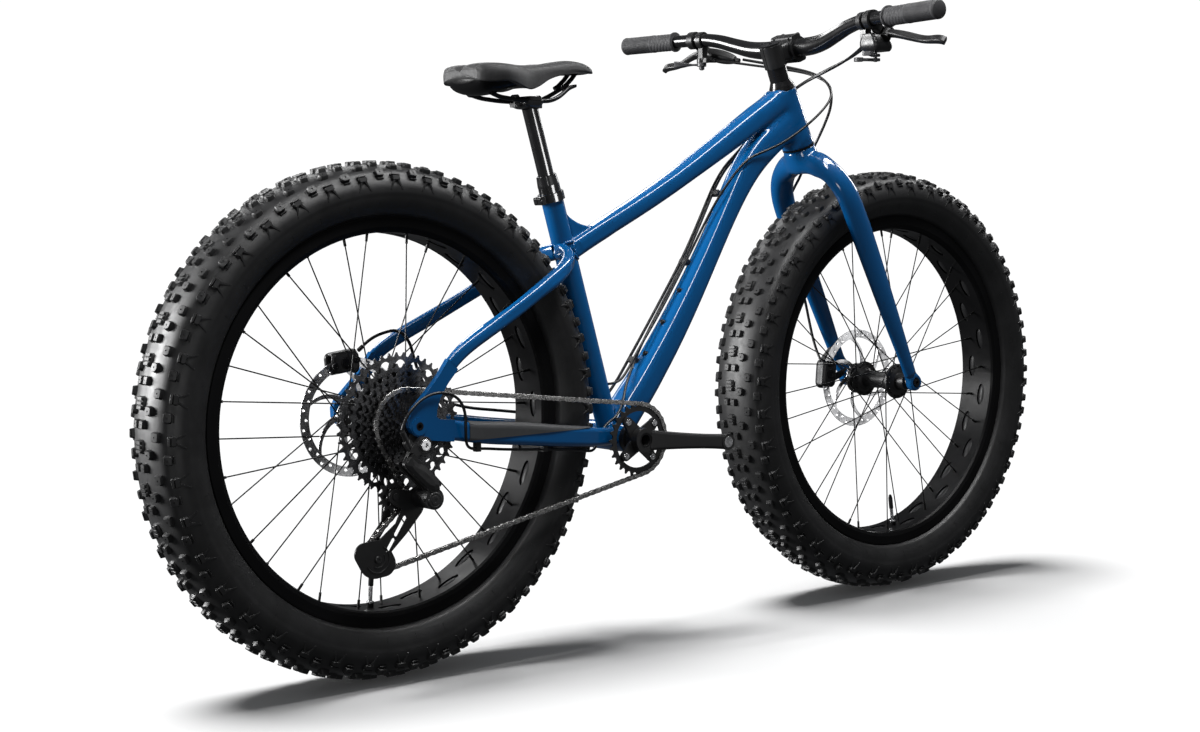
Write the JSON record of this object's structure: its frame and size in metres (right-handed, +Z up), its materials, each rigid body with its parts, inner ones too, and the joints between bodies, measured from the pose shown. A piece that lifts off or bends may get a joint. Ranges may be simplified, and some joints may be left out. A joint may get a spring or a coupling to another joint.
{
  "type": "fat tire bike",
  "caption": "Fat tire bicycle with a rigid fork, wide knobbly tyres, disc brakes, rear derailleur drivetrain, dropper seat post and flat bar, shown without pedals.",
  "frame": {"origin": "on the ground, midway between the two wheel axles, in the plane of symmetry", "axes": "+X forward along the wheelbase, +Y to the rider's left, +Z up"},
  "size_m": [1.844, 0.7656, 1.0165],
  "materials": {
    "blue_paint": "gloss deep blue paint over aluminium",
    "black_alloy": "black anodised, satin to gloss",
    "black_steel": "black oxide, satin",
    "rotor_steel": "bare steel, satin",
    "tyre_rubber": "matte black",
    "grip_rubber": "matte dark grey",
    "black_plastic": "matte black",
    "grey_plastic": "matte grey",
    "saddle_skin": "matte dark grey",
    "cable_jacket": "gloss black"
  },
  "bodies": {
    "frame": {"head_tube": "blue_paint", "top_tube": "blue_paint", "down_tube": "blue_paint", "seat_tube": "blue_paint", "bottom_bracket_shell": "blue_paint", "chainstays": "blue_paint", "seatstays": "blue_paint", "headset_cups": "black_alloy", "bottom_bracket_cups": "black_alloy", "seat_clamp": "black_alloy", "dropper_outer_tube": "black_alloy", "derailleur_hanger": "black_alloy", "chainstay_guard": "grip_rubber", "rear_axle": "black_alloy", "rear_caliper": "black_alloy", "frame_hardware": "black_alloy", "control_cables": "cable_jacket", "chain": "rotor_steel", "derailleur_b_knuckle": "black_alloy"},
    "steering": {"fork": "blue_paint", "headset_spacers": "black_alloy", "stem": "black_alloy", "stem_faceplate": "black_alloy", "handlebar": "black_alloy", "grips": "grip_rubber", "brake_masters": "black_alloy", "shifter_body": "black_plastic", "dropper_remote": "black_alloy", "front_caliper": "black_alloy", "front_axle": "black_alloy", "front_brake_hose": "cable_jacket"},
    "front_wheel": {"front_tyre": "tyre_rubber", "front_rim": "black_alloy", "front_spokes": "black_steel", "front_hub": "black_alloy", "front_rotor": "rotor_steel"},
    "rear_wheel": {"rear_tyre": "tyre_rubber", "rear_rim": "black_alloy", "rear_spokes": "black_steel", "rear_hub": "black_alloy", "rear_rotor": "rotor_steel"},
    "cassette": {"cassette": "black_steel"},
    "crankset": {"crank_arm_right": "black_alloy", "crank_arm_left": "black_alloy", "chainring": "black_alloy"},
    "saddle_post": {"dropper_stanchion": "black_alloy", "saddle_rails": "black_steel", "saddle_shell": "black_plastic", "saddle_cover": "saddle_skin"},
    "derailleur_outer_link": {"derailleur_outer_link": "black_alloy"},
    "derailleur_inner_link": {"derailleur_inner_link": "black_alloy"},
    "derailleur_cage_knuckle": {"derailleur_cage_knuckle": "black_alloy"},
    "derailleur_cage": {"derailleur_cage": "black_alloy"},
    "guide_pulley": {"guide_pulley": "black_plastic"},
    "tension_pulley": {"tension_pulley": "black_plastic"},
    "brake_lever_left": {"brake_lever_left": "black_alloy"},
    "brake_lever_right": {"brake_lever_right": "black_alloy"},
    "shift_paddle_main": {"shift_paddle_main": "grey_plastic"},
    "shift_paddle_release": {"shift_paddle_release": "grey_plastic"},
    "dropper_remote_lever": {"dropper_remote_lever": "grey_plastic"}
  },
  "joints": [
    {"name": "steer", "type": "hinge", "parent": "frame", "child": "steering", "pos_m": [0.289, 0, 0.898], "axis": [-0.373, 0, 0.9278], "range_deg": [-70, 70], "deforming": ["control_cables"]},
    {"name": "front_wheel_spin", "type": "hinge", "parent": "steering", "child": "front_wheel", "pos_m": [0.542, 0, 0.38], "axis": [0, 1, 0], "continuous": true},
    {"name": "rear_wheel_spin", "type": "hinge", "parent": "frame", "child": "rear_wheel", "pos_m": [-0.542, 0, 0.38], "axis": [0, 1, 0], "continuous": true},
    {"name": "crank_spin", "type": "hinge", "parent": "frame", "child": "crankset", "pos_m": [-0.102, 0, 0.325], "axis": [0, 1, 0], "continuous": true, "deforming": ["chain"]},
    {"name": "cassette_spin", "type": "hinge", "parent": "frame", "child": "cassette", "pos_m": [-0.542, 0, 0.38], "axis": [0, 1, 0], "continuous": true},
    {"name": "derailleur_shift", "type": "hinge", "parent": "frame", "child": "derailleur_outer_link", "pos_m": [-0.566, -0.1165, 0.333], "axis": [0.6817, 0, 0.7316], "range_deg": [-19, 17.4]},
    {"name": "derailleur_inner_link_hinge", "type": "hinge", "parent": "frame", "child": "derailleur_inner_link", "pos_m": [-0.566, -0.1005, 0.333], "axis": [0.6817, 0, 0.7316], "range_deg": [-19.5, 17.9]},
    {"name": "derailleur_cage_knuckle_hinge", "type": "hinge", "parent": "derailleur_outer_link", "child": "derailleur_cage_knuckle", "pos_m": [-0.522, -0.1165, 0.292], "axis": [0.6817, 0, 0.7316], "range_deg": [-17.9, 19.5]},
    {"name": "derailleur_cage_pivot", "type": "hinge", "parent": "derailleur_cage_knuckle", "child": "derailleur_cage", "pos_m": [-0.524, -0.09, 0.275], "axis": [0, 1, 0], "range_deg": [-46, 50]},
    {"name": "guide_pulley_spin", "type": "hinge", "parent": "derailleur_cage", "child": "guide_pulley", "pos_m": [-0.566, -0.0714, 0.278], "axis": [0, 1, 0], "continuous": true},
    {"name": "tension_pulley_spin", "type": "hinge", "parent": "derailleur_cage", "child": "tension_pulley", "pos_m": [-0.5974, -0.0714, 0.19116], "axis": [0, 1, 0], "continuous": true},
    {"name": "dropper_slide", "type": "slide", "parent": "frame", "child": "saddle_post", "axis": [-0.2887, 0, 0.9574], "range_m": [-0.1, 0], "stiffness_N_per_m": 100, "springref_m": 0.3},
    {"name": "brake_lever_left_pull", "type": "hinge", "parent": "steering", "child": "brake_lever_left", "pos_m": [0.30648, 0.226, 0.97629], "axis": [0.6, 0, 0.8], "range_deg": [0, 20], "stiffness_Nm_per_rad": 0.6, "springref_deg": -8.59},
    {"name": "brake_lever_right_pull", "type": "hinge", "parent": "steering", "child": "brake_lever_right", "pos_m": [0.30648, -0.226, 0.97629], "axis": [-0.6, 0, -0.8], "range_deg": [0, 20], "stiffness_Nm_per_rad": 0.6, "springref_deg": -8.59},
    {"name": "shift_paddle_main_push", "type": "hinge", "parent": "steering", "child": "shift_paddle_main", "pos_m": [0.297, -0.208, 0.9416], "axis": [0, 0, -1], "range_deg": [0, 25], "stiffness_Nm_per_rad": 0.12, "springref_deg": -8.59},
    {"name": "shift_paddle_release_push", "type": "hinge", "parent": "steering", "child": "shift_paddle_release", "pos_m": [0.297, -0.208, 0.9342], "axis": [0, 0, -1], "range_deg": [0, 15], "stiffness_Nm_per_rad": 0.12, "springref_deg": -8.59},
    {"name": "dropper_remote_push", "type": "hinge", "parent": "steering", "child": "dropper_remote_lever", "pos_m": [0.283, 0.2, 0.9538], "axis": [0, 0, 1], "range_deg": [0, 20], "stiffness_Nm_per_rad": 0.12, "springref_deg": -8.59}
  ],
  "couplings": [
    {"joint": "cassette_spin", "follows": "crank_spin", "ratio": 1.12},
    {"joint": "guide_pulley_spin", "follows": "crank_spin", "ratio": -2.5455},
    {"joint": "tension_pulley_spin", "follows": "crank_spin", "ratio": 2.5455},
    {"joint": "derailleur_inner_link_hinge", "follows": "derailleur_shift", "ratio": 1},
    {"joint": "derailleur_cage_knuckle_hinge", "follows": "derailleur_shift", "ratio": -1},
    {"joint": "derailleur_cage_pivot", "follows": "derailleur_shift", "ratio": -2.6}
  ]
}
